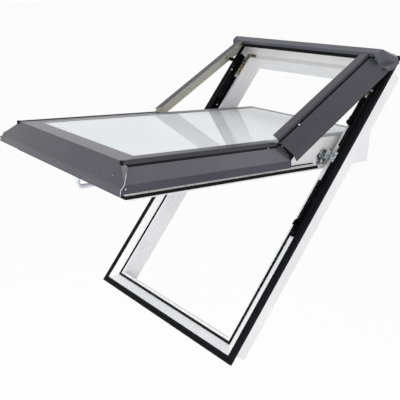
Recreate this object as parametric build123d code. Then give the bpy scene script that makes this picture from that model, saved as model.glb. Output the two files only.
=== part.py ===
"""High-pivot roof window, shown with its sash swung open.

Everything is drawn with the window shut and lying in its roof plane:
X runs across the window, Y up the slope, Z out of the roof, and Z = 0 is the
outer face of the weather rim. The sash, its hinge shoes and the lifting cover
are then turned to the open pose, and the whole window is tipped to the pitch.
"""
import os

from build123d import *

os.makedirs("parts", exist_ok=True)

# Outside size and pose
frame_w = 780.0          # across the weather rim
frame_l = 1180.0         # up the slope, over the weather rim
frame_depth = 95.0       # rim face down to the room-side face
pitch = 50.0             # roof pitch, degrees
sash_open = 54.0         # sash swing from shut to the pose shown, degrees
cover_open = 21.4        # swing of the lifting cover, degrees
shoe_travel = 104.0      # the hinge shoes run down the rails by this much

# Frame section, measured inwards from the outside of the weather rim
rim_w = 22.0
rim_t = 12.0
rim_groove = 1.5
flange_out = 4.0         # white flange under the rim
flange_t = 6.0
box_in = 30.0            # outside of the white box under the flange
strip_drop = 1.0         # outer edge of the sloping rebate strip
strip_in = 52.0          # inner edge of the sloping rebate strip
lip_drop = 17.0          # level of the inner lip that carries the seal
reveal_in = 69.0         # reveal face
line_cut = 0.8           # shallow lines drawn in the white lengths
seal_w = 9.0
seal_t = 3.0

# Clearances
run_gap = 5.2            # between pieces that move past each other
sash_gap = 7.0           # sash body to the reveal
flap_gap = 11.0          # lifting cover above the sash when shut
pin_gap = 0.1            # pins in their holes
shoe_run = 0.3           # hinge shoes on the rails

# Sash section, measured inwards from the outside of the sash body
glass_top = 88.0         # outer face of the glazing when shut
sash_low = -22.0         # room-side face of the sash
wall_t = 20.0            # wall beside the glazing
bead_w = 44.0            # whole width of a sash length
bead_bevel = 10.0
pane_t = 4.0
unit_t = 44.0            # triple glazing unit
spacer_in = 12.0
spacer_w = 7.0
trim_t = 1.2
trim_side = 36.0         # glazing trim, over the sides and the bottom
trim_top = 17.0          # glazing trim, over the top
overlap = 24.0           # sash flange over the frame seal
overlap_low = -4.0
overlap_t = 6.0
sash_seal_t = 5.0
sash_seal_w = 2.0

# Covers
sheet_t = 1.6
cover_out = 69.0         # covers stand out beyond the sash body by this much
flap_shift = 5.0         # upper covers are this much wider at the riser

# Derived places
half = frame_w / 2
sash_half = half - reveal_in - sash_gap
sash_v0 = reveal_in + sash_gap
sash_v1 = frame_l - reveal_in - sash_gap
pivot_v = frame_l - 338.0
pivot_w = 8.0
hood_v = frame_l - 124.0
hood_w = 45.0
flap_start = frame_l - 553.0
flap_end = sash_v1 + sash_gap
cover_end = flap_start + 4.0      # sash covers: face, under the upper covers
band_end = flap_start - run_gap
flange_end = flap_start - 16.0
top_w = glass_top + trim_t + sheet_t
flap_top = glass_top + trim_t + flap_gap + sheet_t


def face_uw(points, v=0.0):
    return make_face(Polyline(*[(u, v, w) for u, w in points], close=True))


def face_vw(points, u=0.0):
    return make_face(Polyline(*[(u, v, w) for v, w in points], close=True))


def face_uv(points, w=0.0):
    return make_face(Polyline(*[(u, v, w) for u, v in points], close=True))


def block(u0, u1, v0, v1, w0, w1):
    size = (u1 - u0, v1 - v0, w1 - w0)
    return Pos(u0, v0, w0) * Box(*size, align=(Align.MIN, Align.MIN, Align.MIN))


def rod(radius, length):
    return Cylinder(radius, length, align=(Align.CENTER, Align.CENTER, Align.MIN))


def rod_u(u0, u1, v, w, radius):
    return Pos(u0, v, w) * Rot(0, 90, 0) * rod(radius, u1 - u0)


def rod_v(u, v0, v1, w, radius):
    return Pos(u, v0, w) * Rot(-90, 0, 0) * rod(radius, v1 - v0)


def rod_w(u, v, w0, w1, radius):
    return Pos(u, v, w0) * rod(radius, w1 - w0)


def mirrored(solid):
    return mirror(solid, about=Plane.YZ)


def bar(section, side, wide, v0, v1):
    """One side of a mitred ring; section is (inward offset, w) points."""
    deep = max(o for o, w in section) + 1.0
    out = min(o for o, w in section)
    low = min(w for o, w in section) - 1.0
    high = max(w for o, w in section) + 1.0
    if side in ("left", "right"):
        sign = 1.0 if side == "right" else -1.0
        face = face_uw([(sign * (wide - o), w) for o, w in section], v0 + out)
        solid = extrude(face, amount=v1 - v0 - 2 * out, dir=(0, 1, 0))
        plan = [
            (sign * (wide - out), v0 + out), (sign * (wide - out), v1 - out),
            (sign * (wide - deep), v1 - deep), (sign * (wide - deep), v0 + deep),
        ]
    else:
        edge = v0 if side == "sill" else v1
        way = 1.0 if side == "sill" else -1.0
        face = face_vw([(edge + way * o, w) for o, w in section], out - wide)
        solid = extrude(face, amount=2 * (wide - out), dir=(1, 0, 0))
        plan = [
            (out - wide, edge + way * out), (wide - out, edge + way * out),
            (wide - deep, edge + way * deep), (deep - wide, edge + way * deep),
        ]
    prism = extrude(face_uv(plan, low), amount=high - low, dir=(0, 0, 1))
    return solid & prism


def folded(points, thick):
    """Closed section of a folded sheet; the sheet lies to the right of the path."""
    normals = []
    for (x0, y0), (x1, y1) in zip(points, points[1:]):
        length = ((x1 - x0) ** 2 + (y1 - y0) ** 2) ** 0.5
        normals.append(((y1 - y0) / length, -(x1 - x0) / length))
    inner = []
    for i, (x, y) in enumerate(points):
        a = normals[max(i - 1, 0)]
        b = normals[min(i, len(normals) - 1)]
        k = thick / (1.0 + a[0] * b[0] + a[1] * b[1])
        inner.append((x + k * (a[0] + b[0]), y + k * (a[1] + b[1])))
    return points + inner[::-1]


def strip_w(o):
    """Level of the sloping rebate strip at an offset from the outside."""
    return -strip_drop - (lip_drop - strip_drop) * (o - rim_w) / (strip_in - rim_w)


pieces = {}

# Frame: four mitred white lengths, weather rim and inner seal
line_a = -0.45 * frame_depth
line_b = -0.7 * frame_depth
frame_section = [
    (box_in, -frame_depth), (box_in, -rim_t - flange_t), (flange_out, -rim_t - flange_t),
    (flange_out, -rim_t), (rim_w, -rim_t), (rim_w, -strip_drop), (strip_in, -lip_drop),
    (reveal_in, -lip_drop),
    (reveal_in, line_a + 1), (reveal_in - line_cut, line_a), (reveal_in, line_a - 1),
    (reveal_in, line_b + 1), (reveal_in - line_cut, line_b), (reveal_in, line_b - 1),
    (reveal_in, -frame_depth),
]
rim_section = [
    (0, -rim_t), (0, 0), (rim_w / 2 - 2, 0), (rim_w / 2, -rim_groove), (rim_w / 2 + 2, 0),
    (rim_w, 0), (rim_w, -rim_t),
]
seal_section = [
    (strip_in, -lip_drop), (strip_in + 1, -lip_drop + seal_t), (strip_in + seal_w - 1, -lip_drop + seal_t),
    (strip_in + seal_w, -lip_drop),
]
for side, name in (("left", "left_jamb"), ("right", "right_jamb"), ("sill", "sill"), ("head", "head")):
    pieces["frame_" + name] = ("frame", bar(frame_section, side, half, 0, frame_l))
    pieces["rim_" + side] = ("frame", bar(rim_section, side, half, 0, frame_l))
seal_top = pivot_v - shoe_travel - 60.0
inner_seal = bar(seal_section, "sill", half, 0, frame_l)
for side in ("left", "right"):
    length = bar(seal_section, side, half, 0, frame_l)
    inner_seal += length & block(-half, half, 0, seal_top, -frame_depth, 0)
pieces["inner_seal"] = ("frame", inner_seal)
jamb = pieces["frame_right_jamb"][1]
head = pieces["frame_head"][1]

# Rail that the hinge shoe runs on, with a rounded upper end
rail_in = 45.0
rail_step = 37.0
rail_out = 23.0
rail_top = 4.0
rail_t = 2.0
rail_v0 = frame_l - 720.0
rail_v1 = frame_l - 68.0
rail_section = [
    (rail_in, strip_w(rail_in)), (rail_in, strip_w(rail_in) + rail_t),
    (rail_step, strip_w(rail_step) + rail_t), (rail_step, rail_top - 1), (rail_step - 1, rail_top),
    (rail_out + 1, rail_top), (rail_out, rail_top - 1), (rail_out, strip_w(rail_out)),
]
rail_face = face_uw([(half - o, w) for o, w in rail_section], rail_v0)
rail = extrude(rail_face, amount=rail_v1 - rail_v0, dir=(0, 1, 0))
rail_r = (rail_in - rail_out) / 2
rail_mid = half - (rail_in + rail_out) / 2
rail_plan = block(rail_mid - rail_r, rail_mid + rail_r, rail_v0, rail_v1 - rail_r, -lip_drop, rail_top)
rail &= rail_plan + rod_w(rail_mid, rail_v1 - rail_r, -lip_drop, rail_top, rail_r)

# Foot plate beside the strut, above the reach of the sash flange
foot_in = strip_in + 7.0
foot_v0 = pivot_v - 27.0
foot_v1 = frame_l - 170.0
foot_section = [
    (foot_in, -lip_drop), (foot_in, -lip_drop + rail_t), (strip_in, -lip_drop + rail_t),
    (rail_in, strip_w(rail_in) + rail_t), (rail_in, strip_w(rail_in)), (strip_in, -lip_drop),
]
foot_face = face_uw([(half - o, w) for o, w in foot_section], foot_v0)
rail += extrude(foot_face, amount=foot_v1 - foot_v0, dir=(0, 1, 0))

# Spring strut with its eye
strut_r = 7.0
strut_u = half - strip_in
strut_w = 0.0
eye_v = frame_l - 277.0
eye_r = 11.0
eye_t = 10.0
bracket_v = frame_l - 116.0
strut = rod_v(strut_u, eye_v + 4, bracket_v - 60, strut_w, strut_r)
strut += rod_v(strut_u, bracket_v - 60, bracket_v, strut_w, strut_r - 3)
eye = rod_w(strut_u, eye_v, strut_w - eye_t / 2, strut_w + eye_t / 2, eye_r)
eye += rod_w(strut_u, eye_v, -lip_drop, strut_w + eye_t / 2 + 3, 4.0)
eye -= strut
eye -= jamb
eye -= rail

# Zinc bracket at the head corner
plate_u0 = half - reveal_in + 1.0
plate_u1 = half - strip_in - 4.0
corner_v = sash_v1 + sash_gap
bracket_v0 = bracket_v - 44.0
bracket = block(plate_u0, plate_u1, bracket_v0, corner_v + 12, -lip_drop, -lip_drop + 3)
bracket += block(plate_u1 - 2.5, plate_u1, bracket_v0 + 6, corner_v - 6, -lip_drop, -lip_drop + 12)
bracket += block(plate_u0 + 3, plate_u1, bracket_v - 16, bracket_v - 4, -lip_drop, -lip_drop + 9)
bracket += block(plate_u0, plate_u1, bracket_v + 14, bracket_v + 34, -lip_drop, -lip_drop + 7)
bracket += rod_w(plate_u0 + 6, corner_v + 7, -lip_drop, -lip_drop + 9, 5.0)
bracket += block(plate_u0 - 28, plate_u0 + 6, corner_v + 2, corner_v + 12, -lip_drop, -lip_drop + 7)
bracket += rod_w(plate_u0 - 28, corner_v + 7, -lip_drop, -lip_drop + 7, 5.0)
for k in (0.12, 0.5, 0.62):
    hole_v = bracket_v0 + k * (corner_v - bracket_v0)
    bracket -= rod_w(plate_u0 + 4, hole_v, -lip_drop - 1, -lip_drop + 14, 2.0)

# Black hinge post beside it; its pin carries the lifting cover
upright_u = half - strip_in + 2.0
upright_t = 4.0
upright_v = 26.0
arm_v = 14.0
tab_u = upright_u + upright_t + run_gap
tab_t = 4.0
hinge_r = 7.5
hinge_pin = 4.0
post_u1 = upright_u + upright_t
post_foot = block(plate_u1, post_u1, bracket_v, bracket_v + upright_v, -lip_drop, -lip_drop + 7)
post_points = [
    (bracket_v + upright_v - arm_v, -lip_drop), (bracket_v + upright_v, -lip_drop),
    (hood_v + hinge_r, hood_w), (hood_v - hinge_r, hood_w),
]
post = post_foot + extrude(face_vw(post_points, upright_u), amount=upright_t, dir=(1, 0, 0))
post += rod_u(upright_u, post_u1, hood_v, hood_w, hinge_r)
post += rod_u(upright_u, tab_u + tab_t + 3, hood_v, hood_w, hinge_pin)
post -= jamb
post -= head
post -= rail
strut -= post

# Hook-shaped catch on the inner edge of the rail
catch_v = rail_v0 + 32.0
catch_u = half - rail_in + 0.5
hook_points = [(0, -14), (28, -14), (28, 6), (20, 13), (4, 13), (4, 9), (13, 8), (13, 3), (0, 3)]
catch = extrude(face_vw([(catch_v + a, b) for a, b in hook_points], catch_u), amount=4.0, dir=(1, 0, 0))
catch -= rail
catch -= jamb
fittings = {
    "rail": rail, "strut": strut, "strut_eye": eye,
    "head_bracket": bracket, "hinge_post": post, "catch": catch,
}
for name, solid in fittings.items():
    pieces["right_" + name] = ("frame", solid)
    pieces["left_" + name] = ("frame", mirrored(solid))

# Hinge shoes that run on the rails
plate_t = 1.8
shoe_u0 = sash_half + plate_t + run_gap
shoe_u1 = half - rail_in
shoe_low = pivot_v + 2.0
shoe_high = pivot_v + 44.0
cheek_t = 4.0
pin_r = 5.0
cheek_w = pivot_w + 26.0
shoe = block(shoe_u0, shoe_u0 + cheek_t, shoe_low, shoe_high - 8, pivot_w - 12, cheek_w)
shoe = fillet(shoe.edges().filter_by(Axis.X).sort_by(Axis.Z)[-2:], 6.0)
shoe += rod_u(shoe_u0, shoe_u0 + 2 * cheek_t, pivot_v, pivot_w, 10.0)
shoe += block(shoe_u0 + cheek_t, shoe_u1 - cheek_t, shoe_low + 6, shoe_high - 12, pivot_w - 10, pivot_w + 4)
shoe += rod_w((shoe_u0 + shoe_u1) / 2, shoe_low + 18, pivot_w + 4, pivot_w + 9, 5.0)
cheek = block(shoe_u1 - cheek_t, shoe_u1, shoe_low + 4, shoe_high, rail_top + shoe_run, cheek_w - 4)
cheek = fillet(cheek.edges().filter_by(Axis.X).sort_by(Axis.Z)[-2:], 5.0)
shoe += cheek
run_w = rail_top + shoe_run
shoe += block(shoe_u1 - cheek_t, half - rail_out - 2, shoe_low + 4, shoe_high, run_w, rail_top + 4)
shoe += block(shoe_u1 + 4, shoe_u1 + 8, shoe_low + 4, shoe_high, run_w, rail_top + 8)
shoe -= rod_u(shoe_u0 - 1, shoe_u0 + 10, pivot_v, pivot_w, pin_r + pin_gap)
pieces["right_hinge_shoe"] = ("shoes", shoe)
pieces["left_hinge_shoe"] = ("shoes", mirrored(shoe))

# Sash: four mitred white lengths around the glazing
ledge = glass_top - unit_t
side_line = sash_low + 50.0
sash_section = [
    (0, sash_low), (0, side_line - 1), (line_cut, side_line), (0, side_line + 1), (0, glass_top),
    (wall_t, glass_top), (wall_t, ledge), (bead_w, ledge), (bead_w, sash_low + bead_bevel),
    (bead_w - bead_bevel, sash_low),
]
overlap_high = overlap_low + overlap_t
overlap_section = [
    (-overlap, overlap_low), (-overlap, overlap_high), (0, overlap_high), (0, overlap_low),
]
seal_out = -overlap - sash_seal_w
sash_seal_section = [
    (seal_out, overlap_low - sash_seal_t), (seal_out, overlap_high - 1),
    (-overlap, overlap_high - 1), (-overlap, overlap_low),
    (-overlap + 10, overlap_low), (-overlap + 10, overlap_low - sash_seal_t),
]
low_band = block(-half, half, 0, pivot_v - 40, -frame_depth, glass_top)
sash_seal = Part()
sides = (("left", "left_stile"), ("right", "right_stile"), ("sill", "bottom_rail"), ("head", "top_rail"))
for side, name in sides:
    solid = bar(sash_section, side, sash_half, sash_v0, sash_v1)
    if side != "head":
        solid += bar(overlap_section, side, sash_half, sash_v0, sash_v1) & low_band
        sash_seal += bar(sash_seal_section, side, sash_half, sash_v0, sash_v1) & low_band
    pieces["sash_" + name] = ("sash", solid)
pieces["sash_seal"] = ("sash", sash_seal)
pin = rod_u(sash_half - 12, shoe_u0 + 9, pivot_v, pivot_w, pin_r)
plate = block(sash_half, sash_half + plate_t, pivot_v - 22, pivot_v + 34, pivot_w - 14, pivot_w + 24)
plate = fillet(plate.edges().filter_by(Axis.X), 6.0)
for name in ("right", "left"):
    solid = plate + pin
    if name == "left":
        solid = mirrored(solid)
    pieces["sash_" + name + "_stile"] = ("sash", pieces["sash_" + name + "_stile"][1] - solid)
    pieces[name + "_pivot_plate"] = ("sash", solid)

# Triple glazing unit and its trim
pane_half = sash_half - wall_t - 1.0
pane_v0 = sash_v0 + wall_t + 1.0
pane_v1 = sash_v1 - wall_t - 1.0
pane_gap = (unit_t - 3 * pane_t) / 2
level = ledge
for name in ("inner_pane", "middle_pane", "outer_pane"):
    pieces[name] = ("sash", block(-pane_half, pane_half, pane_v0, pane_v1, level, level + pane_t))
    level += pane_t + pane_gap
level = ledge + pane_t
for name in ("inner_spacer", "outer_spacer"):
    ring = []
    for k in (spacer_in, spacer_in + spacer_w):
        ring.append(block(k - pane_half, pane_half - k, pane_v0 + k, pane_v1 - k, level, level + pane_gap))
    pieces[name] = ("sash", ring[0] - ring[1])
    level += pane_t + pane_gap
trim = block(-sash_half, sash_half, sash_v0, sash_v1, glass_top, glass_top + trim_t)
trim -= block(
    trim_side - sash_half, sash_half - trim_side, sash_v0 + trim_side - 3, sash_v1 - trim_top,
    glass_top, glass_top + trim_t,
)
pieces["glazing_trim"] = ("sash", trim)

# Sash covers: folded sheet, mitred at the lower corners; (overhang, drop) points
side_fold = [(-34, 0), (12, 0), (12, 12), (20, 14), (cover_out - 2, 46), (cover_out, 69)]
bottom_fold = [(-35, 0), (26, 0), (cover_out - 8, 54), (cover_out, 58), (cover_out, 74)]
flap_fold = [
    (-14, 0), (12 + flap_shift, 0), (12 + flap_shift, 12), (20 + flap_shift, 14),
    (cover_out - 5, 47), (cover_out, 75),
]
side_path = [(sash_half + o, top_w - d) for o, d in side_fold]
bottom_path = [(sash_v0 - o, top_w - d) for o, d in bottom_fold]
far = cover_out + 20.0
wide = sash_half + far
low_w = top_w - far
front_o, front_d = bottom_fold[1]
foot_o, foot_d = bottom_fold[2]

# Lower corners: the side face is carried on to the front, where the bottom cover turns the corner
ledge_o, ledge_d = side_fold[3]
fold_o, fold_d = side_fold[4]
hip_o = ledge_o - ledge_d * (fold_o - ledge_o) / (fold_d - ledge_d)
hip_front = front_o + fold_d * (foot_o - front_o) / foot_d
seam_o = front_o - 8.0
riser_o = side_fold[1][0] + 0.5
hip_path = [(sash_half + hip_o, top_w), side_path[4], side_path[5]]
seam_line = [
    (riser_o, front_o), (riser_o, seam_o), (ledge_o, seam_o), (fold_o, hip_front), (cover_out, cover_out),
    (far, far),
]
seam_plan = [(sash_half + a, sash_v0 - b) for a, b in seam_line]
side_face = face_uw(folded(side_path, sheet_t), sash_v0 - far)
side_cover = extrude(side_face, amount=cover_end - sash_v0 + far, dir=(0, 1, 0))
side_plan = [
    (sash_half - far, flange_end), (sash_half + 13, flange_end), (sash_half + 13, cover_end),
    (sash_half + cover_out - 19, cover_end), (sash_half + cover_out - 11, band_end), (wide, band_end),
] + seam_plan[::-1] + [
    (sash_half + hip_o, sash_v0 - front_o), (sash_half + hip_o, sash_v0 - hip_o),
    (sash_half - far, sash_v0 + far),
]
side_cover &= extrude(face_uv(side_plan, low_w), amount=2 * far, dir=(0, 0, 1))
bottom_cover = extrude(face_vw(folded(bottom_path[::-1], sheet_t), -wide), amount=2 * wide, dir=(1, 0, 0))
half_plan = [
    (wide, sash_v0 - far), (wide, sash_v0 - hip_o), (sash_half + hip_o, sash_v0 - hip_o),
    (sash_half - far, sash_v0 + far),
]
bottom_plan = half_plan + [(-u, v) for u, v in half_plan[::-1]]
bottom_cover &= extrude(face_uv(bottom_plan, low_w), amount=2 * far, dir=(0, 0, 1))
half_end = hip_path + [(side_path[5][0], low_w)]
end_face = face_uw(half_end + [(-u, w) for u, w in half_end[::-1]], sash_v0 - far)
bottom_cover &= extrude(end_face, amount=2 * far, dir=(0, 1, 0))
front_face = face_vw(
    [(sash_v0 + far, top_w)] + bottom_path[1:] + [(bottom_path[-1][0], low_w), (sash_v0 + far, low_w)], 0,
)
corner = extrude(face_uw(folded(hip_path, sheet_t), sash_v0 - far), amount=2 * far, dir=(0, 1, 0))
corner &= extrude(front_face, amount=wide, dir=(1, 0, 0))
corner_plan = [(sash_half + hip_o, sash_v0 - front_o)] + seam_plan + [(sash_half + hip_o, sash_v0 - far)]
corner &= extrude(face_uv(corner_plan, low_w), amount=2 * far, dir=(0, 0, 1))
bottom_cover += corner
bottom_cover += mirrored(corner)
pieces["bottom_cover"] = ("sash", bottom_cover)
side_cover -= bottom_cover
pieces["right_side_cover"] = ("sash", side_cover)
pieces["left_side_cover"] = ("sash", mirrored(side_cover))

# Lever handle under the bottom rail
handle_v = sash_v0 + 18.0
base_t = 8.0
base = block(-14, 14, handle_v - 17, handle_v + 25, sash_low - base_t, sash_low)
base = fillet(base.edges().filter_by(Axis.Z), 8.0)
pieces["handle_base"] = ("sash", base)
neck_top = sash_low - base_t - shoe_run
grip_w = neck_top - 32.0
grip_r = 7.0
grip_end = handle_v + 112.0
bend_r = 14.0
neck_r = 9.0
neck_l = neck_top - grip_w - bend_r
path = Polyline((0, handle_v, neck_top), (0, handle_v, grip_w), (0, grip_end, grip_w))
path = fillet(path.vertices().sort_by(Axis.Z)[:2].sort_by(Axis.Y)[:1], bend_r)
lever = sweep(Pos(0, handle_v, neck_top) * Circle(grip_r), path)
lever += Pos(0, handle_v, neck_top - neck_l / 2) * Cone(grip_r, neck_r, neck_l)
lever += Pos(0, grip_end, grip_w) * Sphere(grip_r)
pieces["handle_lever"] = ("handle", lever)

# Lifting cover: upper covers, hood with its end caps, seal strip and hinges
flap_path = [(sash_half + o, flap_top - d) for o, d in flap_fold]
hood_half = upright_u + 14.0
flap_face = face_uw(folded(flap_path, sheet_t), flap_start)
flap_far = frame_l - 15.0
flap_side = extrude(flap_face, amount=flap_far - flap_start, dir=(0, 1, 0))
flap_in = flap_path[0][0] - 1
flap_plan = [
    (flap_in, flap_start + 13), (flap_path[1][0], flap_start), (half + far, flap_start),
    (half + far, flap_far), (hood_half + 1.5, flap_far), (hood_half + 1.5, flap_end), (flap_in, flap_end),
]
flap_side &= extrude(face_uv(flap_plan, -far), amount=3 * far, dir=(0, 0, 1))
lift_cut = [
    (flap_end + 6, 0), (flap_end + 6, flap_path[-1][1]), (flap_far + 1, hood_w + 1), (flap_far + 1, 0),
]
flap_side -= extrude(face_vw(lift_cut, 0), amount=half + far, dir=(1, 0, 0))
pieces["right_upper_cover"] = ("cover", flap_side)
pieces["left_upper_cover"] = ("cover", mirrored(flap_side))
hood_top = flap_top + sheet_t
hood_front = sash_v1 + sash_gap
hood_back = frame_l - 1.0
hood_low = 51.0
hood_path = [
    (hood_front, hood_top - 13), (hood_front, hood_top), (hood_front + 28, hood_top),
    (hood_back, hood_low + 7), (hood_back, hood_low),
]
hood = extrude(face_vw(folded(hood_path, sheet_t), -hood_half), amount=2 * hood_half, dir=(1, 0, 0))
pieces["hood"] = ("cover", hood)
hood_under = hood_top - sheet_t
seal_v0 = hood_front + sheet_t
hood_seal = block(-sash_half, sash_half, seal_v0, seal_v0 + 6, hood_under - 28, hood_under)
pieces["hood_seal"] = ("cover", hood_seal)
cap_half = half + run_gap + sheet_t
cap_mid = hood_half + 13.0
cap_a = [
    (hood_front - 3, hood_top - 30), (hood_front - 3, hood_top + 2), (hood_front + 2, hood_top + 3),
    (hood_front + 23, hood_top + 3), (hood_back + 1, hood_low + 9), (hood_back + 1, hood_low),
]
cap_m = [
    (hood_front - 8, hood_low + 6), (hood_front - 8, hood_low + 22), (hood_front + 8, hood_top - 3),
    (hood_front + 29, hood_top - 1), (hood_back + 1, hood_low + 9), (hood_back + 1, hood_low),
]
cap_n = [
    (hood_front + 25, hood_low - 1), (hood_front + 26, hood_low + 15), (hood_front + 30, hood_low + 33),
    (hood_front + 35, hood_low + 34), (hood_back + 1, hood_low + 9), (hood_back + 1, hood_low),
]
cap_b = [
    (hood_front + 39, hood_low - 7), (hood_front + 40, hood_low + 4), (hood_front + 44, hood_low + 12),
    (hood_front + 49, hood_low + 12), (hood_back - 11, hood_low + 5), (hood_back - 11, hood_low - 1),
]
cap_stations = [(hood_half, cap_a), (cap_mid, cap_m), (cap_mid + 8, cap_n), (cap_half, cap_b)]
cap = Part()
for (u0, points0), (u1, points1) in zip(cap_stations, cap_stations[1:]):
    cap += loft([face_vw(points0, u0), face_vw(points1, u1)], ruled=True)

# Wing of the cap: carries the cover out past the side of the rim
wing_v0 = flap_end - 5.0
wing_path = [flap_path[4], (half + run_gap + 0.3, hood_w + 3.8), (cap_half + 1.2, hood_w - 12)]
wing = extrude(face_uw(folded(wing_path, sheet_t), wing_v0), amount=hood_back - 12 - wing_v0, dir=(0, 1, 0))
wing_cut = [(wing_v0, 0), (wing_v0, hood_w - 3), (wing_v0 + 24, hood_w - 13), (wing_v0 + 24, 0)]
wing -= extrude(face_vw(wing_cut, 0), amount=half + far, dir=(1, 0, 0))
cap += wing
cap -= flap_side
cap -= hood
pieces["right_hood_cap"] = ("cover", cap)
pieces["left_hood_cap"] = ("cover", mirrored(cap))
(fold_u0, fold_w0), (fold_u1, fold_w1) = flap_path[3:5]
slope = (fold_w0 - fold_w1) / (fold_u1 - fold_u0)
tab_high = fold_w0 - slope * (tab_u + tab_t - fold_u0) - sheet_t * (1 + slope ** 2) ** 0.5 - 0.2
tab = block(tab_u, tab_u + tab_t, hood_v - hinge_r, hood_v + hinge_r, hood_w, tab_high)
tab += rod_u(tab_u, tab_u + tab_t, hood_v, hood_w, hinge_r)
tab -= rod_u(tab_u - 1, tab_u + tab_t + 1, hood_v, hood_w, hinge_pin + pin_gap)
pieces["right_hood_hinge"] = ("cover", tab)
pieces["left_hood_hinge"] = ("cover", mirrored(tab))

# Poses and pitch; the origin is the middle of the sill's room-side face
rest_v = pivot_v - shoe_travel
turn_sash = Pos(0, rest_v, pivot_w) * Rot(-sash_open, 0, 0) * Pos(0, -pivot_v, -pivot_w)
turn_cover = Pos(0, hood_v, hood_w) * Rot(-cover_open, 0, 0) * Pos(0, -hood_v, -hood_w)
pose = {
    "frame": Pos(0, 0, 0),
    "shoes": Pos(0, -shoe_travel, 0),
    "sash": turn_sash,
    "handle": turn_sash,
    "cover": turn_cover,
}
mount_v = (box_in + reveal_in) / 2
tip = Rot(pitch, 0, 0) * Pos(0, -mount_v, frame_depth)

for name, (body, solid) in pieces.items():
    placed = tip * pose[body] * solid
    placed.label = name
    export_step(placed, "parts/" + name + ".step")
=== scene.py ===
# %% [markdown]
# # A high-pivot roof window, standing open
#
# The solids of the window come from the CAD frame: white plastic frame and sash, a triple
# glazing unit, folded metal covers and the steel hardware on the jambs. This lesson gives each
# of them its real finish and adds the small things that only matter to the eye: screw heads,
# gaskets, bare metal edges and plugs. Every new piece is drawn with the window shut and lying
# flat, in millimetres, and is then carried to the open pose by one matrix per moving body.

# %% Load the frame
import math

import bmesh
import bpy
from mathutils import Matrix, Vector


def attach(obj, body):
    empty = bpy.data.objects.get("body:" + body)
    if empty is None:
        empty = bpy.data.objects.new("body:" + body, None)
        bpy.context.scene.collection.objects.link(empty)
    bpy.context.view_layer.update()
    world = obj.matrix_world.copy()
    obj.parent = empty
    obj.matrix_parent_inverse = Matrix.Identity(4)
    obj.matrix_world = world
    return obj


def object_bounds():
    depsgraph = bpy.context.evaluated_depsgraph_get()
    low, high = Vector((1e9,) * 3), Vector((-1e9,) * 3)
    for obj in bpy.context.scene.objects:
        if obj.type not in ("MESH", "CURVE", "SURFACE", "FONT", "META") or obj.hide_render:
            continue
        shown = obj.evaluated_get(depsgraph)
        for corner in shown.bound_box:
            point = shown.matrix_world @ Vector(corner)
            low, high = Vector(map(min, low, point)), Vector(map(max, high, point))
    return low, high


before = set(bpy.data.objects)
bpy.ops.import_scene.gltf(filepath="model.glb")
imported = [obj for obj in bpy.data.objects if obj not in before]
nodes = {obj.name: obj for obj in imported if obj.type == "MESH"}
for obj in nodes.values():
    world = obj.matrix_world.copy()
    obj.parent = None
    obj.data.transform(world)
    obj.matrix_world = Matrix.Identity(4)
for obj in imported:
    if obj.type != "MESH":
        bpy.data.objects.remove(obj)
cad_low, cad_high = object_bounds()

# %% [markdown]
# ## Where things are
#
# The window is described shut: u runs across it, v up the slope from the sill, w outwards from
# the rim. The frame only leans at the roof pitch. The hinge shoes have run down their rails, the
# sash has turned on its pivot as well, and the cover over the head has lifted on its own hinge.
# One matrix for each of these turns millimetres of the shut window into metres in the room.

# %% Places of the moving bodies
FRAME_W, FRAME_L, FRAME_D = 780.0, 1180.0, 95.0
PITCH, SASH_OPEN, COVER_OPEN, SHOE_TRAVEL = 50.0, 54.0, 21.4, 104.0
HALF = FRAME_W / 2
SASH_HALF, SASH_V0, SASH_V1 = 314.0, 76.0, 1104.0
PIVOT = Vector((0, FRAME_L - 338, 8))
HOOD = Vector((0, FRAME_L - 124, 45))
MOUNT_V = 49.5


def turn(degrees):
    return Matrix.Rotation(math.radians(degrees), 4, "X")


tip = Matrix.Scale(0.001, 4) @ turn(PITCH) @ Matrix.Translation((0, -MOUNT_V, FRAME_D))
slide = Matrix.Translation((0, -SHOE_TRAVEL, 0))
swing = slide @ Matrix.Translation(PIVOT) @ turn(-SASH_OPEN) @ Matrix.Translation(-PIVOT)
lift = Matrix.Translation(HOOD) @ turn(-COVER_OPEN) @ Matrix.Translation(-HOOD)
place = {"frame": tip, "shoes": tip @ slide, "sash": tip @ swing, "cover": tip @ lift}
for body, matrix in place.items():
    print(body, "carries the sill corner to", [round(c, 3) for c in matrix @ Vector((HALF, 0, 0))])

# %% [markdown]
# ## The camera
#
# The picture was taken from the right and a little above, with a longish lens. The position and
# the three directions below were fitted to the corners of the rim and of the glass, so the solids
# land on their own outlines. The image is square, 400 by 400.

# %% Camera
FOCAL_PX = 627.76
eye = tip @ Vector((1665.1, 147.9, 1604.1))
right = turn(PITCH) @ Vector((0.6252, 0.4986, -0.6004))
down = turn(PITCH) @ Vector((0.2538, -0.8574, -0.4477))
ahead = turn(PITCH) @ Vector((-0.7380, 0.1276, -0.6626))
camera = bpy.data.objects.new("camera", bpy.data.cameras.new("camera"))
bpy.context.scene.collection.objects.link(camera)
camera.data.sensor_width = 36
camera.data.lens = 36 * FOCAL_PX / 400
looks = Matrix((right.normalized(), -down.normalized(), -ahead.normalized())).transposed().to_4x4()
camera.matrix_world = Matrix.Translation(eye) @ looks
bpy.context.scene.camera = camera
print("camera at", [round(c, 3) for c in eye], "lens", round(camera.data.lens, 1), "mm")

# %% [markdown]
# ## Colours and nodes
#
# Colours are written as the sRGB hex values that a colour picker shows, and Blender wants linear
# light, so one function converts them. A second small function adds a node, sets its values and
# links its inputs. Pattern scales are given as real sizes: object coordinates are in metres, so a
# texture scale of 1000 / size gives features of about that many millimetres.

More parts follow.
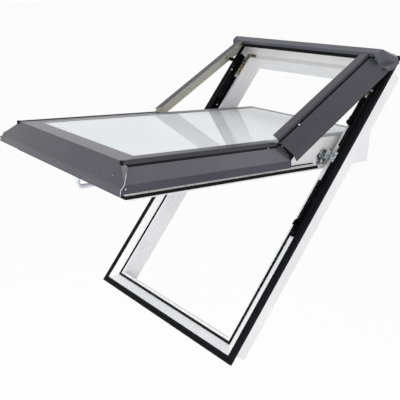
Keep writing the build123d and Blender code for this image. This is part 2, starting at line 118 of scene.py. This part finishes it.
# %% Colour, node and scale helpers
def linear(hex_code):
    values = [int(hex_code[i:i + 2], 16) / 255 for i in (1, 3, 5)]
    return [v / 12.92 if v <= 0.04045 else ((v + 0.055) / 1.055) ** 2.4 for v in values] + [1.0]


def add(tree, kind, values=None, links=None, **settings):
    node = tree.nodes.new(kind)
    for name, value in settings.items():
        setattr(node, name, value)
    for socket, value in (values or {}).items():
        node.inputs[socket].default_value = value
    for socket, source in (links or {}).items():
        tree.links.new(source, node.inputs[socket])
    return node


def per_mm(size):
    return 1000.0 / size


def new_material(name, **values):
    material = bpy.data.materials.new(name)
    material.use_nodes = True
    tree = material.node_tree
    shader = tree.nodes["Principled BSDF"]
    for socket, value in values.items():
        shader.inputs[socket.replace("_", " ")].default_value = value
    place_in = add(tree, "ShaderNodeTexCoord").outputs["Object"]
    return material, tree, shader, place_in


def two_tone(tree, factor, hex_a, hex_b):
    ramp = add(tree, "ShaderNodeValToRGB", links={"Fac": factor})
    ramp.color_ramp.elements[0].position = 0.3
    ramp.color_ramp.elements[1].position = 0.7
    ramp.color_ramp.elements[0].color = linear(hex_a)
    ramp.color_ramp.elements[1].color = linear(hex_b)
    return ramp.outputs["Color"]


def roughness_band(tree, shader, factor, low, high):
    band = add(tree, "ShaderNodeMapRange", {"To Min": low, "To Max": high}, {"Value": factor})
    tree.links.new(band.outputs["Result"], shader.inputs["Roughness"])


def bump(tree, shader, height, strength, depth_mm):
    values = {"Strength": strength, "Distance": depth_mm / 1000}
    relief = add(tree, "ShaderNodeBump", values, {"Height": height})
    tree.links.new(relief.outputs["Normal"], shader.inputs["Normal"])


print("white plastic in linear light:", [round(c, 3) for c in linear("#e9e8ea")[:3]])

# %% [markdown]
# ## White plastic
#
# The frame and sash are extruded from white PVC. Drawing the hot plastic through its die leaves
# faint lines along each length and a satin skin that is never quite even. The lines run along the
# length, so the pattern is stretched that way: 600 mm long and 5 mm wide. The real draw lines are
# finer than a millimetre and are drawn coarser here so that they show at all.

# %% Extruded white PVC
def extruded_pvc(name, lean, across):
    material, tree, shader, coords = new_material(name, IOR=1.53)
    turned = add(tree, "ShaderNodeMapping", {"Rotation": (-math.radians(lean), 0, 0)}, {"Vector": coords})
    stretch = (per_mm(600), per_mm(5), per_mm(5)) if across else (per_mm(5), per_mm(600), per_mm(5))
    scaled = add(tree, "ShaderNodeMapping", {"Scale": stretch}, {"Vector": turned.outputs["Vector"]})
    lines = add(tree, "ShaderNodeTexNoise", {"Scale": 1, "Detail": 3}, {"Vector": scaled.outputs["Vector"]})
    cloud = add(tree, "ShaderNodeTexNoise", {"Scale": per_mm(160), "Detail": 2}, {"Vector": coords})
    tree.links.new(two_tone(tree, cloud.outputs["Fac"], "#e6e5e7", "#f0eff0"), shader.inputs["Base Color"])
    roughness_band(tree, shader, lines.outputs["Fac"], 0.34, 0.5)
    bump(tree, shader, lines.outputs["Fac"], 0.25, 0.15)
    return material


pvc_roof = extruded_pvc("extruded white PVC up the roof", PITCH, False)
pvc_sash = extruded_pvc("extruded white PVC along the sash", PITCH - SASH_OPEN, False)
pvc_cross = extruded_pvc("extruded white PVC across", 0, True)
print("made", pvc_roof.name, "and two more")

# %% [markdown]
# ## Coated sheet
#
# The covers are folded from aluminium sheet that was coated before it was bent: grey outside and
# a cream back coat inside, which shows where the cover over the head stands open. The coat is a
# matt paint with a fine grain. Which side a point is on follows from its normal: on the outside it
# points with the sheet's outward direction. The grain is about 1 mm and is drawn at 3 mm.

# %% Coated aluminium sheet
def coated_sheet(name, body, outward, hex_a, hex_b, back, shine):
    material, tree, shader, coords = new_material(name, Specular_IOR_Level=shine)
    grain = add(tree, "ShaderNodeTexNoise", {"Scale": per_mm(3), "Detail": 4, "Roughness": 0.7}, {"Vector": coords})
    cloud = add(tree, "ShaderNodeTexNoise", {"Scale": per_mm(240), "Detail": 2}, {"Vector": coords})
    grey = two_tone(tree, cloud.outputs["Fac"], hex_a, hex_b)
    normal = add(tree, "ShaderNodeTexCoord").outputs["Normal"]
    way = (place[body].to_3x3() @ Vector(outward)).normalized()
    side = add(tree, "ShaderNodeVectorMath", {1: way}, {0: normal}, operation="DOT_PRODUCT")
    inside = add(tree, "ShaderNodeMath", {1: -0.12}, {0: side.outputs["Value"]}, operation="LESS_THAN")
    links = {0: inside.outputs["Value"], 6: grey}
    coat = add(tree, "ShaderNodeMix", {7: linear(back)}, links, data_type="RGBA")
    tree.links.new(coat.outputs[2], shader.inputs["Base Color"])
    roughness_band(tree, shader, grain.outputs["Fac"], 0.24, 0.32)
    bump(tree, shader, grain.outputs["Fac"], 0.05, 0.1)
    return material


WHITE_BACK, CREAM_BACK = "#ecebed", "#cfccc0"
# painted light and shade: the six covers share one grey coat, but each has its own grey to stand in for how it is lit.
# The hood is lightest, the bottom cover darkest for its shaded front, and the side covers and the flaps over the head
# lie in between. The shine is set per cover too.
sheet_right = coated_sheet("coated sheet right of sash", "sash", (0.6, 0, 0.8), "#42414a", "#4b4a53", WHITE_BACK, 0.15)
sheet_left = coated_sheet("coated sheet left of sash", "sash", (-0.6, 0, 0.8), "#42414a", "#4b4a53", WHITE_BACK, 0.15)
sheet_bottom = coated_sheet("coated sheet below sash", "sash", (0, -0.6, 0.8), "#33323b", "#3c3b43", WHITE_BACK, 0.5)
flap_right = coated_sheet("coated sheet right of cover", "cover", (0.6, 0, 0.8), "#3b3a43", "#43424b", CREAM_BACK, 0.32)
flap_left = coated_sheet("coated sheet left of cover", "cover", (-0.6, 0, 0.8), "#3b3a43", "#43424b", CREAM_BACK, 0.32)
hood_sheet = coated_sheet("coated sheet of hood", "cover", (0, 0, 1), "#4a4953", "#55545d", CREAM_BACK, 0.32)
print("coated sheets:", [m.name for m in bpy.data.materials if m.name.startswith("coated")])

# %% [markdown]
# ## Rubber, lacquered steel, zinc and the greys
#
# The rim and the seals are black EPDM rubber, matt and slightly grained. The rails and struts are
# black lacquered steel, smoother, so they carry soft highlights. The bare fittings are zinc plated
# and passivated: a bright metal with bluish and yellowish patches a few millimetres across.

# %% Black finishes
def black_finish(name, hex_a, hex_b, low, high, grain_mm, depth, shine=0.5):
    material, tree, shader, coords = new_material(name, Specular_IOR_Level=shine)
    grain = add(tree, "ShaderNodeTexNoise", {"Scale": per_mm(grain_mm), "Detail": 4}, {"Vector": coords})
    tree.links.new(two_tone(tree, grain.outputs["Fac"], hex_a, hex_b), shader.inputs["Base Color"])
    roughness_band(tree, shader, grain.outputs["Fac"], low, high)
    bump(tree, shader, grain.outputs["Fac"], 0.2, depth)
    return material


rubber = black_finish("black EPDM rubber", "#08080a", "#0f0f13", 0.55, 0.75, 4, 0.2, 0.1)
lacquer = black_finish("black lacquered steel", "#040405", "#08080a", 0.3, 0.45, 6, 0.08, 0.05)
print("made", rubber.name, "and", lacquer.name)

# %% Zinc plate and grey metals
def plated(name, hex_a, hex_b, size_mm, low, high):
    material, tree, shader, coords = new_material(name, Metallic=1.0)
    patches = add(tree, "ShaderNodeTexVoronoi", {"Scale": per_mm(size_mm), "Randomness": 1.0}, {"Vector": coords})
    haze = add(tree, "ShaderNodeTexNoise", {"Scale": per_mm(size_mm * 3), "Detail": 3}, {"Vector": coords})
    tree.links.new(two_tone(tree, patches.outputs["Distance"], hex_a, hex_b), shader.inputs["Base Color"])
    roughness_band(tree, shader, haze.outputs["Fac"], low, high)
    bump(tree, shader, haze.outputs["Fac"], 0.1, 0.1)
    return material


zinc = plated("passivated zinc plate", "#8e9cab", "#e2e3de", 7, 0.18, 0.36)
yellow_zinc = plated("yellow passivated zinc plate", "#7d796a", "#d2ccba", 14, 0.3, 0.46)
spacer_metal = plated("mill aluminium spacer", "#b4b5b8", "#cfcfd0", 12, 0.3, 0.45)
bare_edge = plated("bare cut aluminium", "#bdbdc2", "#d4d4d6", 5, 0.3, 0.45)
strip_rubber = black_finish("dark grey strip rubber", "#232229", "#2b2a31", 0.5, 0.65, 4, 0.1, 0.2)
trim_grey = black_finish("grey coated glazing trim", "#85868a", "#929396", 0.4, 0.55, 4, 0.08)
handle_plastic = black_finish("natural nylon", "#c3c4cd", "#d0d1d8", 0.25, 0.35, 20, 0.05)
print("made", zinc.name, "and the greys")

# %% [markdown]
# ## Glass
#
# The two inner panes are clear float glass. The outer pane is drawn milky white with a little blue,
# and that pale base colour is painted reflection: it stands in for the bright light the glass mirrors
# from outside, and the covers are mirrored in it only faintly. The clear and the milky part are one
# shader: its transmission weight says how much light goes through, and the rest is the painted pale base colour.

# %% Float glass
def float_glass(name, clear, index, hex_a, hex_b):
    material, tree, shader, coords = new_material(name, Transmission_Weight=clear, IOR=index, Roughness=0.0)
    wave = add(tree, "ShaderNodeTexNoise", {"Scale": per_mm(300), "Detail": 1}, {"Vector": coords})
    tree.links.new(two_tone(tree, wave.outputs["Fac"], hex_a, hex_b), shader.inputs["Base Color"])
    bump(tree, shader, wave.outputs["Fac"], 0.03, 0.5)
    return material


glass = float_glass("clear float glass", 1.0, 1.12, "#f2f7fa", "#f8fbfc")
# painted reflection: the pale base colour and low transmission stand in for the bright light mirrored by the outer pane
painted_reflection_glass = float_glass("coated float glass", 0.2, 1.22, "#eef4f7", "#f6fafc")
print("made", glass.name, "and", painted_reflection_glass.name)

# %% [markdown]
# ## Finishes on the solids
#
# Each solid keeps its CAD shape and only changes its material. The white lengths take the plastic
# whose lines run their own way, and each cover takes the sheet that knows its outward side.

# %% Dress the solids
finish_of = {
    "frame_left_jamb": pvc_roof, "frame_right_jamb": pvc_roof, "frame_head": pvc_cross, "frame_sill": pvc_cross,
    "sash_left_stile": pvc_sash, "sash_right_stile": pvc_sash, "sash_top_rail": pvc_cross,
    "sash_bottom_rail": pvc_cross, "right_side_cover": sheet_right, "left_side_cover": sheet_left,
    "bottom_cover": sheet_bottom, "right_upper_cover": flap_right, "left_upper_cover": flap_left,
    "hood": hood_sheet, "right_hood_cap": hood_sheet, "left_hood_cap": hood_sheet, "hood_seal": rubber,
    "inner_seal": rubber, "sash_seal": rubber, "glazing_trim": trim_grey, "handle_base": handle_plastic,
    "handle_lever": handle_plastic, "outer_pane": painted_reflection_glass,
}
endings = {
    "rail": lacquer, "strut": lacquer, "strut_eye": lacquer, "catch": lacquer, "hinge_post": lacquer,
    "head_bracket": yellow_zinc, "hinge_shoe": zinc, "pivot_plate": zinc, "hood_hinge": yellow_zinc,
    "pane": glass, "spacer": spacer_metal,
}
for name, node in nodes.items():
    found = finish_of.get(name) or next((m for e, m in endings.items() if name.endswith("_" + e)), rubber)
    node.data.materials.clear()
    node.data.materials.append(found)
used = sorted({node.data.materials[0].name for node in nodes.values()})
print(len(nodes), "solids wear", len(used), "finishes")

# %% [markdown]
# ## Making a piece
#
# New pieces are small, so a few helpers are enough. One turns a finished bmesh into an object on
# its body, one draws a closed section and extrudes it along a line, one spins a screw head from
# half its outline. Everything is drawn on the shut window and moved by the body's matrix at the
# end, so the object itself stays at the origin.

# %% Helpers for pieces
def piece(name, bm, body, material, smooth=False):
    bmesh.ops.remove_doubles(bm, verts=bm.verts, dist=0.001)
    bmesh.ops.recalc_face_normals(bm, faces=bm.faces)
    bmesh.ops.transform(bm, matrix=place[body], verts=bm.verts)
    mesh = bpy.data.meshes.new(name)
    bm.to_mesh(mesh)
    bm.free()
    for polygon in mesh.polygons:
        polygon.use_smooth = smooth
    mesh.materials.append(material)
    thing = bpy.data.objects.new(name, mesh)
    bpy.context.scene.collection.objects.link(thing)
    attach(thing, body)
    return thing


def extrude_outline(bm, corners, travel):
    outline = bm.faces.new([bm.verts.new(c) for c in corners])
    grown = bmesh.ops.extrude_face_region(bm, geom=[outline])
    tips = [g for g in grown["geom"] if isinstance(g, bmesh.types.BMVert)]
    bmesh.ops.translate(bm, verts=tips, vec=Vector(travel))
    return tips


def soften(bm, width, segments=2):
    sharp = [e for e in bm.edges if len(e.link_faces) == 2 and e.calc_face_angle(0) > 0.6]
    bmesh.ops.bevel(bm, geom=sharp, offset=width, offset_type="OFFSET", segments=segments, profile=0.5,
                    affect="EDGES", material=-1, clamp_overlap=True)


def spun(bm, outline, at, normal, steps=20):
    before = set(bm.verts)
    points = [bm.verts.new((r, 0, z)) for r, z in outline]
    edges = [bm.edges.new(pair) for pair in zip(points, points[1:])]
    bmesh.ops.spin(bm, geom=points + edges, cent=(0, 0, 0), axis=(0, 0, 1), angle=2 * math.pi, steps=steps,
                   use_merge=True)
    fresh = [v for v in bm.verts if v not in before]
    bmesh.ops.remove_doubles(bm, verts=fresh, dist=0.001)
    fresh = [v for v in bm.verts if v not in before]
    aim = Vector((0, 0, 1)).rotation_difference(Vector(normal).normalized()).to_matrix().to_4x4()
    bmesh.ops.transform(bm, matrix=Matrix.Translation(at) @ aim, verts=fresh)


def both_sides(points):
    return [Vector((s * u, v, w)) for u, v, w in points for s in (1, -1)]


print("helpers ready; the sill's middle is at", [round(c, 3) for c in place["frame"] @ Vector((0, 0, 0))])

# %% [markdown]
# ## Screws
#
# Small pan-head screws hold the rails to the jambs, and smaller ones hold the covers. Their heads
# are turned parts, so half the outline is drawn and spun: a low dome with a socket in the middle.
# The rail screws sit on the sloping foot of the rail, clear of the shoe that runs above them.

# %% Screw heads
def head_outline(radius, height):
    return [(0, 0.45 * height), (0.3 * radius, 0.45 * height), (0.36 * radius, 0.97 * height),
            (0.62 * radius, 0.9 * height), (0.88 * radius, 0.55 * height), (radius, 0.12 * height), (radius, -0.4)]


def screw_set(name, body, spots, normal, radius, height, material):
    bm = bmesh.new()
    for spot in spots:
        way = Vector(normal)
        if spot.x < 0:
            way.x = -way.x
        spun(bm, head_outline(radius, height), spot, way)
    thing = piece(name, bm, body, material, smooth=True)
    print(name, "has", len(spots), "heads,", len(thing.data.polygons), "faces")
    return thing


STRIP = Vector((-16, 0, 30))
rail_spots = both_sides([(345.5, v, -10.9) for v in (866, 838)] + [(349, v, -9.0) for v in (692, 547, 472)])
screw_set("rail_screws", "frame", rail_spots, STRIP, 3.6, 2.2, zinc)
pin_spots = both_sides([(359, 1031, 3.9)])
screw_set("rail_pins", "frame", pin_spots, (0, 0, 1), 4.6, 3.2, zinc)
cover_spots = both_sides([(330, 570, 77.7)])
screw_set("side_cover_screws", "sash", cover_spots, (0.24, 0, 0.97), 3.4, 2.0, zinc)
band_spots = both_sides([(382.0, 23, 34.4)])
screw_set("band_screws", "sash", band_spots, (1, 0, 0.1), 2.6, 1.6, spacer_metal)
rivet_spots = both_sides([(314, 26.7, 54.8)])
screw_set("cover_rivets", "sash", rivet_spots, (0, -0.84, 0.54), 2.2, 1.0, trim_grey)
flap_spots = both_sides([(335, 723, 88.9)])
screw_set("upper_cover_screws", "cover", flap_spots, (0.24, 0, 0.97), 3.4, 2.0, zinc)

# %% [markdown]
# ## Gaskets
#
# A thin black gasket shows as a line where the sash's side meets the flange below it, and a second
# one lies between the glass and its trim. Both are pushed-in rubber strips, so a small section is
# drawn once and extruded along the joint.

# %% Stile gaskets
bm = bmesh.new()
for s in (1, -1):
    corners = [(s * SASH_HALF, 70, 2.0), (s * (SASH_HALF + 2.6), 70, 2.0), (s * (SASH_HALF + 2.2), 70, 4.4),
               (s * SASH_HALF, 70, 5.2)]
    extrude_outline(bm, corners, (0, PIVOT.y - 40 - 70, 0))
gasket = piece("stile_gaskets", bm, "sash", rubber)
print("stile gaskets,", len(gasket.data.polygons), "faces")

# %% Glazing gasket
GLASS_HALF, GLASS_V0, GLASS_V1, GLASS_W = 278.0, 109.0, 1087.0, 88.0
bm = bmesh.new()
ring = [(-GLASS_HALF, GLASS_V0), (GLASS_HALF, GLASS_V0), (GLASS_HALF, GLASS_V1), (-GLASS_HALF, GLASS_V1)]
bead = bm.faces.new([bm.verts.new((u, v, GLASS_W)) for u, v in ring])
bm.normal_update()
bmesh.ops.inset_region(bm, faces=[bead], thickness=2.4, use_boundary=True, use_even_offset=True)
bmesh.ops.delete(bm, geom=[bead], context="FACES")
rim_faces = list(bm.faces)
grown = bmesh.ops.extrude_face_region(bm, geom=rim_faces)
raised = [g for g in grown["geom"] if isinstance(g, bmesh.types.BMVert)]
bmesh.ops.translate(bm, verts=raised, vec=(0, 0, 1.0))
glazing_gasket = piece("glazing_gasket", bm, "sash", trim_grey)
print("glazing gasket,", len(glazing_gasket.data.polygons), "faces")

# %% [markdown]
# ## Strips and corners of the covers
#
# A dark rubber strip lies along the outer edge of each side cover's top. The black strip in the groove below it, on the
# covers over the head too, is painted shade that darkens the recess.
# Black gaskets and blocks at the upper end of each side cover fill the gap under the cover over the head with painted
# shade.
# At the lower corners the strip ends in a square black plug, and below it the cut edge of the sheet is left bare: a
# thin light line along the seam.

# %% Cover strips
def strip_pair(bm, section, v0, v1):
    for s in (1, -1):
        extrude_outline(bm, [(s * u, v0, w) for u, w in section], (0, v1 - v0, 0))


bm = bmesh.new()
strip_pair(bm, [(315.5, 90.7), (326.1, 90.7), (326.1, 91.6), (325.2, 92.4), (316.4, 92.4), (315.5, 91.6)], 50, 604)
edge_strips = piece("edge_strips", bm, "sash", strip_rubber)
# painted shade: a black strip in the groove of each side cover darkens the recess
bm = bmesh.new()
strip_pair(bm, [(325.9, 78.6), (334.2, 76.6), (333.8, 77.6), (328.0, 80.6), (325.9, 81.2)], 59, 610)
groove_strips = piece("groove_strips", bm, "sash", rubber)
# painted shade: the same black strip in the groove of each cover over the head
bm = bmesh.new()
strip_pair(bm, [(330.9, 89.6), (337.2, 88.0), (336.6, 88.9), (332.4, 90.9), (330.9, 91.4)], 629, 1109)
cover_strips = piece("cover_strips", bm, "cover", rubber)
# painted shade: black gaskets fill the gap between each side cover's end and the cover over the head, so the gap reads
# dark
bm = bmesh.new()
end_path = [(326.4, 77.0), (333.4, 75.0), (365.0, 53.4), (378.6, 44.0), (380.6, 24.0)]
for s in (1, -1):
    line = [bm.verts.new((s * u, 598, w)) for u, w in end_path]
    ribs = [bm.edges.new(pair) for pair in zip(line, line[1:])]
    grown = bmesh.ops.extrude_edge_only(bm, edges=ribs)
    ends = [g for g in grown["geom"] if isinstance(g, bmesh.types.BMVert)]
    for vert in ends:
        vert.co.y = 654 if abs(vert.co.x) < 370 else 626
end_gaskets = piece("end_gaskets", bm, "sash", rubber)
thick = end_gaskets.modifiers.new("gasket", "SOLIDIFY")
thick.thickness = 0.0014
thick.offset = 0.0
# painted shade: black blocks close the rest of that gap, next to the glass
bm = bmesh.new()
for s in (1, -1):
    spot = Matrix.Translation((s * 319.6, 625.6, 82.2)) @ Matrix.Diagonal((11.2, 28.8, 8.4, 1))
    bmesh.ops.create_cube(bm, size=1.0, matrix=spot)
soften(bm, 1.5)
end_blocks = piece("end_blocks", bm, "sash", rubber)
print("cover strips,", sum(len(o.data.polygons) for o in (edge_strips, groove_strips, cover_strips)), "faces")


# %% Seam edges and corner plugs
def tube(bm, radius, start, end, steps=14):
    line = Vector(end) - Vector(start)
    spun(bm, [(0, 0), (radius, 0), (radius, line.length), (0, line.length)], start, line, steps)


seam = [(325.6, 47.8, 81.2), (334.6, 57.6, 77.4), (381.3, 19.8, 45.4), (383.1, 7.2, 33.0), (383.3, 7.0, 17.4)]
bm = bmesh.new()
for s in (1, -1):
    line = [Vector((s * u, v, w)) for u, v, w in seam]
    for start, end in zip(line, line[1:]):
        tube(bm, 0.75, start, end, 8)
edges = piece("seam_edges", bm, "sash", bare_edge, smooth=True)
print("seam edges,", len(edges.data.polygons), "faces")

bm = bmesh.new()
for s in (1, -1):
    spot = Matrix.Translation((s * 322.2, 47.2, 87.0)) @ Matrix.Diagonal((9.4, 6.4, 12.6, 1))
    bmesh.ops.create_cube(bm, size=1.0, matrix=spot)
soften(bm, 0.7)
plugs = piece("corner_plugs", bm, "sash", rubber)
print("corner plugs,", len(plugs.data.polygons), "faces")

# %% [markdown]
# ## Small hardware on the jambs
#
# A thin bright rod runs beside each spring strut, the strut has a collar at its eye, and dark
# bolts hold the corner bracket. On the sill a small white keeper waits for the sash's lock.

# %% Rods, collars, bolts and keeper
bm = bmesh.new()
for s in (1, -1):
    tube(bm, 1.3, (s * 347.2, 908, -6.4), (s * 347.2, 1046, -6.4))
rods = piece("guide_rods", bm, "frame", zinc, smooth=True)

bm = bmesh.new()
for s in (1, -1):
    for v0, v1, r in ((914, 924, 9.2), (992, 1000, 8.2)):
        spun(bm, [(6.5, 0), (r - 1, 0), (r, 1), (r, v1 - v0 - 1), (r - 1, v1 - v0), (6.5, v1 - v0)],
             Vector((s * 338, v0, 0)), (0, 1, 0), 24)
collars = piece("strut_collars", bm, "frame", lacquer, smooth=True)

bolt_spots = both_sides([(327.5, 1028, -14.0), (327, 1072, -14.0), (331, 1092, -10.0)])
screw_set("bracket_bolts", "frame", bolt_spots, (0, 0, 1), 3.0, 2.2, lacquer)

bm = bmesh.new()
spot = Matrix.Translation((52, 65.2, -15.8)) @ Matrix.Diagonal((28, 7, 2.6, 1))
bmesh.ops.create_cube(bm, size=1.0, matrix=spot)
soften(bm, 0.7)
keeper = piece("sill_keeper", bm, "frame", pvc_cross)
print("rods, collars and keeper made,", len(keeper.data.polygons), "faces in the keeper")

# %% [markdown]
# ## Floor and light
#
# The studio is white. The floor is a large pale sheet below the window, lit by the same soft light,
# and to the camera it is mostly plain white, with a share of real shading so that it keeps the
# shadow. One broad sun lamp comes from above and behind, so that the glass and the tops of the
# covers are light and their fronts dark. Soft boxes in front, at the right and low down lift the
# white faces under the hood and inside the frame, and the world gives the rest. Glossy and
# transmitted rays see the same white room as the camera.

# %% Floor
bm = bmesh.new()
bmesh.ops.create_grid(bm, x_segments=2, y_segments=2, size=60.0)
mesh = bpy.data.meshes.new("floor")
bm.to_mesh(mesh)
bm.free()
floor = bpy.data.objects.new("floor", mesh)
bpy.context.scene.collection.objects.link(floor)
floor.location.z = cad_low[2] - 0.6
paper = bpy.data.materials.new("white studio paper")
paper.use_nodes = True
tree = paper.node_tree
shader = tree.nodes["Principled BSDF"]
shader.inputs["Base Color"].default_value = linear("#e6e6e6")
shader.inputs["Roughness"].default_value = 0.9
shader.inputs["Specular IOR Level"].default_value = 0.1
ray = add(tree, "ShaderNodeLightPath")
seen = add(tree, "ShaderNodeMath", links={0: ray.outputs["Is Camera Ray"], 1: ray.outputs["Is Glossy Ray"]},
           operation="MAXIMUM")
seen = add(tree, "ShaderNodeMath", links={0: seen.outputs["Value"], 1: ray.outputs["Is Transmission Ray"]},
           operation="MAXIMUM")
share = add(tree, "ShaderNodeMath", {1: 0.9}, {0: seen.outputs["Value"]}, operation="MULTIPLY")
white = add(tree, "ShaderNodeEmission", {"Strength": 1.0})
mixed = add(tree, "ShaderNodeMixShader", links={0: share.outputs["Value"], 1: shader.outputs["BSDF"],
                                                2: white.outputs["Emission"]})
tree.links.new(mixed.outputs["Shader"], tree.nodes["Material Output"].inputs["Surface"])
mesh.materials.append(paper)
print("floor at", round(floor.location.z, 3))

# %% World and lamps
world = bpy.data.worlds.new("white room")
bpy.context.scene.world = world
world.use_nodes = True
tree = world.node_tree
ray = add(tree, "ShaderNodeLightPath")
seen = add(tree, "ShaderNodeMath", links={0: ray.outputs["Is Camera Ray"], 1: ray.outputs["Is Glossy Ray"]},
           operation="MAXIMUM")
seen = add(tree, "ShaderNodeMath", links={0: seen.outputs["Value"], 1: ray.outputs["Is Transmission Ray"]},
           operation="MAXIMUM")
level = add(tree, "ShaderNodeMapRange", {"To Min": 0.55, "To Max": 1.0}, {"Value": seen.outputs["Value"]})
tree.nodes["Background"].inputs["Color"].default_value = (1, 1, 1, 1)
tree.links.new(level.outputs["Result"], tree.nodes["Background"].inputs["Strength"])

key = bpy.data.objects.new("key", bpy.data.lights.new("key", "SUN"))
key.data.energy = 1.2
key.data.angle = math.radians(50)
key.rotation_euler = Vector((0.2, -1.1, -1.7)).to_track_quat("-Z", "Y").to_euler()
bpy.context.scene.collection.objects.link(key)
MIDDLE = Vector((0, 0.2, 0.55))
boxes = (
    ("front box", (0.3, -3.2, 0.8), (2.6, 1.4), 70),
    ("right box", (3.2, 0.2, 0.9), (2.2, 2.0), 25),
    ("low box", (0.0, -1.1, -0.35), (0.7, 0.8), 2),
)
for name, at, size, watts in boxes:
    box = bpy.data.objects.new(name, bpy.data.lights.new(name, "AREA"))
    box.data.shape = "RECTANGLE"
    box.data.size, box.data.size_y = size
    box.data.energy = watts
    box.location = at
    box.visible_camera = False
    box.rotation_euler = (MIDDLE - Vector(at)).to_track_quat("-Z", "Y").to_euler()
    bpy.context.scene.collection.objects.link(box)
bpy.context.scene.view_settings.view_transform = "Standard"
print("a broad key lamp,", len(boxes), "soft boxes and a white world")
